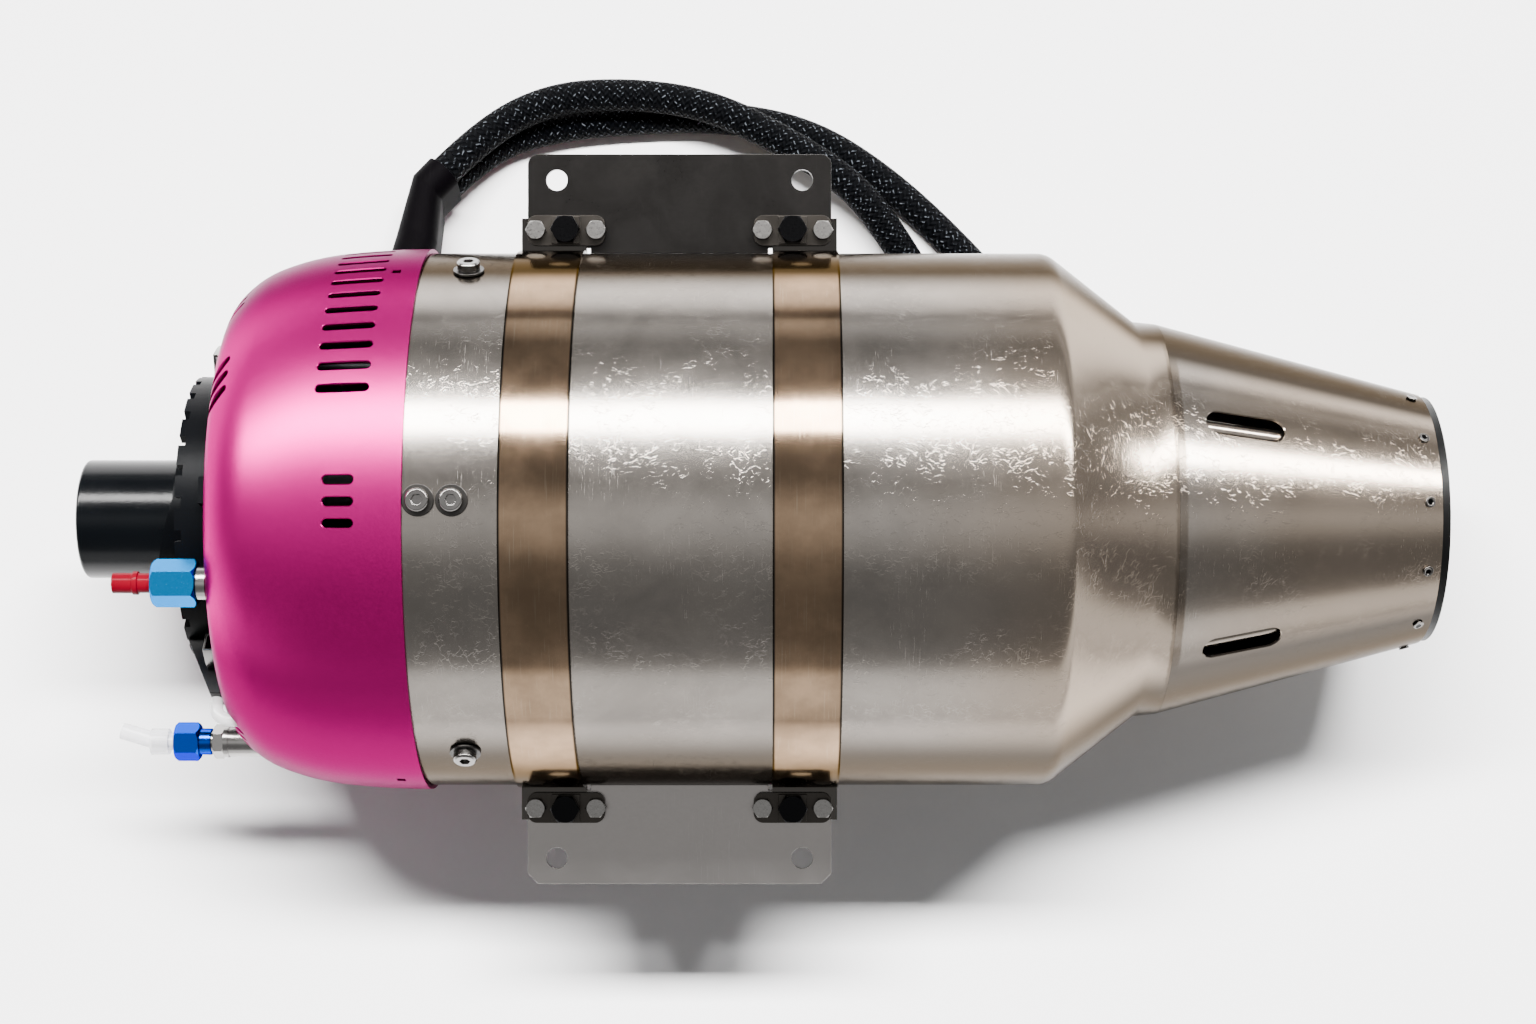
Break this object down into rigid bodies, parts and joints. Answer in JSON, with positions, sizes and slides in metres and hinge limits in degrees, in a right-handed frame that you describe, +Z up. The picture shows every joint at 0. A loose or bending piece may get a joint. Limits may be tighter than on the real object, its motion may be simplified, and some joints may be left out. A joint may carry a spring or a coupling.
{
  "type": "turbojet engine",
  "caption": "Small single-shaft turbojet with vented intake cover, electric starter, clamp-band mounting brackets, slotted exhaust nozzle and a sleeved harness.",
  "frame": {"origin": "centre of the four mounting holes in the brackets, on the thrust axis, halfway through the bracket sheet", "axes": "+X along the thrust axis towards the exhaust nozzle, +Y towards the left bracket, on the side where the harness leaves, +Z up, square to the brackets"},
  "size_m": [0.4131, 0.2597, 0.171],
  "materials": {
    "steel": "satin",
    "anodised_cover": "satin",
    "aluminium": "satin",
    "alloy_wheel": "polished",
    "hot_alloy": "matte",
    "band_steel": "polished",
    "bracket_steel": "satin",
    "dark_steel": "satin",
    "bright_steel": "polished",
    "black_metal": "satin",
    "blue_anodised": "gloss",
    "red_plastic": "gloss",
    "clear_plastic": "gloss",
    "black_plastic": "matte",
    "rubber": "matte",
    "braid": "matte",
    "board": "satin",
    "magnet": "matte"
  },
  "bodies": {
    "engine": {"outer_casing": "steel", "casing_screws": "bright_steel", "casing_washers": "bright_steel", "front_cover": "anodised_cover", "intake_bellmouth": "aluminium", "cover_clips": "bright_steel", "bearing_outer_rings": "bright_steel", "diffuser": "aluminium", "shaft_tunnel": "aluminium", "preload_springs": "bright_steel", "combustor_outer_liner": "hot_alloy", "combustor_inner_liner": "hot_alloy", "vaporiser_tubes": "hot_alloy", "fuel_manifold": "steel", "fuel_line": "steel", "gas_line": "steel", "glow_plug": "steel", "nozzle_guide_vanes": "hot_alloy", "rear_bulkhead": "hot_alloy", "jet_pipe": "hot_alloy", "tail_cone": "hot_alloy", "nozzle_shell": "steel", "nozzle_struts": "steel", "rim_ring": "black_metal", "nozzle_rivets": "bright_steel", "front_band_upper": "band_steel", "front_band_lower": "band_steel", "rear_band_upper": "band_steel", "rear_band_lower": "band_steel", "left_mount_bracket": "bracket_steel", "right_mount_bracket": "bracket_steel", "clamp_plates": "dark_steel", "clamp_bolts": "bright_steel", "clamp_nuts": "bright_steel", "starter_housing": "black_metal", "starter_end_cap": "aluminium", "starter_magnets": "magnet", "starter_holder": "black_metal", "lead_channel": "black_plastic", "lead_sleeve": "clear_plastic", "fuel_fitting": "bright_steel", "fuel_nut": "blue_anodised", "gas_fitting": "bright_steel", "gas_nut": "blue_anodised", "control_board": "board", "cable_boot": "rubber", "power_cable": "braid", "data_cable": "braid", "power_connector": "black_plastic", "data_connector": "black_plastic"},
    "rotor": {"compressor_wheel": "alloy_wheel", "spinner_nut": "aluminium", "shaft": "steel", "bearing_inner_rings": "bright_steel", "turbine_wheel": "hot_alloy", "turbine_nut": "steel"},
    "starter_rotor": {"starter_armature": "steel"},
    "clutch": {"clutch_cup": "aluminium"},
    "fuel_cap": {"fuel_cap": "red_plastic"},
    "gas_cap": {"gas_cap": "clear_plastic"}
  },
  "joints": [
    {"name": "rotor_spin", "type": "hinge", "parent": "engine", "child": "rotor", "pos_m": [0, 0, 0], "axis": [1, 0, 0], "continuous": true},
    {"name": "starter_spin", "type": "hinge", "parent": "engine", "child": "starter_rotor", "pos_m": [-0.16, 0, 0], "axis": [1, 0, 0], "continuous": true},
    {"name": "clutch_slide", "type": "slide", "parent": "starter_rotor", "child": "clutch", "axis": [1, 0, 0], "range_m": [0, 0.005]},
    {"name": "fuel_cap_pull", "type": "slide", "parent": "engine", "child": "fuel_cap", "axis": [-1, 0, 0], "range_m": [0, 0.016]},
    {"name": "gas_cap_pull", "type": "slide", "parent": "engine", "child": "gas_cap", "axis": [-1, 0, 0], "range_m": [0, 0.012]}
  ]
}
